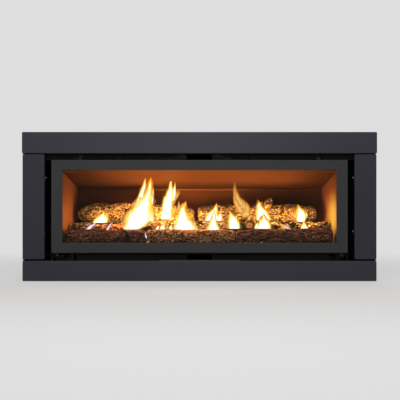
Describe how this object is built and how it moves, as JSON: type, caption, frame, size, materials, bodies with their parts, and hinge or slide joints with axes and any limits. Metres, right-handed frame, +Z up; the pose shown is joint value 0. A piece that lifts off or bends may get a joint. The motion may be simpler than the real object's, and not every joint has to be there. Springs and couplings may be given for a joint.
{
  "type": "gas log fireplace insert",
  "caption": "Wide gas log fireplace insert: folded surround with drop-down flap, hinged glass door, steel firebox and casing, burner, ceramic logs, fan and flue spigot.",
  "frame": {"origin": "middle of the footprint at the underside of the skids, the face that the insert stands on", "axes": "+X along the width, to the right seen from the front; the glass faces -Y; +Z up"},
  "size_m": [1.3, 0.42, 0.565],
  "materials": {
    "charcoal_paint": "fine satin charcoal powder coat",
    "door_paint": "matt grey heat-proof paint",
    "black_steel": "matt black heat-proof paint",
    "galvanised": "dull zinc-coated sheet",
    "enamel": "glossy vitreous enamel",
    "cast_metal": "bare cast metal",
    "ceramic_bark": "moulded ceramic fibre painted as bark",
    "ceramic_ember": "moulded ceramic fibre painted as embers",
    "clear_glass": "clear ceramic glass",
    "rope_seal": "braided glass-fibre rope",
    "brass": "plain brass",
    "copper": "bare copper pipe",
    "lever_yellow": "yellow dipped coating",
    "black_plastic": "moulded black plastic"
  },
  "bodies": {
    "insert": {"top_rail": "charcoal_paint", "left_stile": "charcoal_paint", "right_stile": "charcoal_paint", "flap_bracket_left": "black_steel", "flap_bracket_right": "black_steel", "upper_air_plate": "black_steel", "lower_air_plate": "black_steel", "firebox_top": "black_steel", "burner_tray": "black_steel", "burner_deck": "black_steel", "control_panel": "black_steel", "base_pan": "galvanised", "casing_left": "galvanised", "casing_right": "galvanised", "casing_back": "galvanised", "casing_top": "galvanised", "flue_inner": "galvanised", "flue_outer": "galvanised", "fan_housing": "galvanised", "firebox_floor": "enamel", "firebox_left": "enamel", "firebox_right": "enamel", "firebox_back": "enamel", "baffle": "enamel", "door_clip_left": "cast_metal", "door_clip_right": "cast_metal", "venturi": "cast_metal", "pilot_burner": "cast_metal", "gas_valve": "cast_metal", "fan_motor": "cast_metal", "front_log_left": "ceramic_bark", "front_log_middle": "ceramic_bark", "front_log_right": "ceramic_bark", "back_log_left": "ceramic_bark", "back_log_mid_left": "ceramic_bark", "back_log_mid_right": "ceramic_bark", "back_log_right": "ceramic_bark", "cross_log_left": "ceramic_bark", "cross_log_right": "ceramic_bark", "ember_left": "ceramic_ember", "ember_middle": "ceramic_ember", "ember_right": "ceramic_ember", "inlet_cock": "brass", "burner_pipe": "copper"},
    "flap": {"lower_flap": "charcoal_paint"},
    "door": {"door_top": "door_paint", "door_bottom": "door_paint", "door_left": "door_paint", "door_right": "door_paint", "glass": "clear_glass", "glass_retainer_upper": "black_steel", "glass_retainer_lower": "black_steel", "rope_gasket": "rope_seal"},
    "relief_lid": {"relief_flap": "galvanised"},
    "shutter": {"air_shutter": "galvanised"},
    "cock_handle": {"cock_lever": "lever_yellow"},
    "rotor": {"fan_rotor": "galvanised"},
    "knob": {"gas_knob": "black_plastic"},
    "igniter": {"igniter_button": "black_plastic"},
    "rocker": {"fan_rocker": "black_plastic"}
  },
  "joints": [
    {"name": "flap_hinge", "type": "hinge", "parent": "insert", "child": "flap", "pos_m": [0, -0.203, 0.008], "axis": [1, 0, 0], "range_deg": [0, 90]},
    {"name": "door_swing", "type": "hinge", "parent": "insert", "child": "door", "pos_m": [0, -0.174, 0.452], "axis": [-1, 0, 0], "range_deg": [0, 30]},
    {"name": "relief_hinge", "type": "hinge", "parent": "insert", "child": "relief_lid", "pos_m": [0.33, 0.0436, 0.4459], "axis": [-1, 0, 0], "range_deg": [0, 45]},
    {"name": "shutter_turn", "type": "hinge", "parent": "insert", "child": "shutter", "pos_m": [-0.445, -0.005, 0.1133], "axis": [1, 0, 0], "range_deg": [-40, 40]},
    {"name": "cock_turn", "type": "hinge", "parent": "insert", "child": "cock_handle", "pos_m": [-0.48, -0.1368, 0.04], "axis": [0, -1, 0], "range_deg": [0, 90]},
    {"name": "rotor_spin", "type": "hinge", "parent": "insert", "child": "rotor", "pos_m": [0, 0.174, 0.048], "axis": [1, 0, 0], "continuous": true},
    {"name": "knob_turn", "type": "hinge", "parent": "insert", "child": "knob", "pos_m": [-0.34, -0.183, 0.046], "axis": [0, -1, 0], "range_deg": [0, 180]},
    {"name": "igniter_press", "type": "slide", "parent": "insert", "child": "igniter", "axis": [0, 1, 0], "range_m": [0, 0.003], "stiffness_N_per_m": 400},
    {"name": "rocker_tilt", "type": "hinge", "parent": "insert", "child": "rocker", "pos_m": [-0.246, -0.1765, 0.046], "axis": [1, 0, 0], "range_deg": [0, 12]}
  ]
}
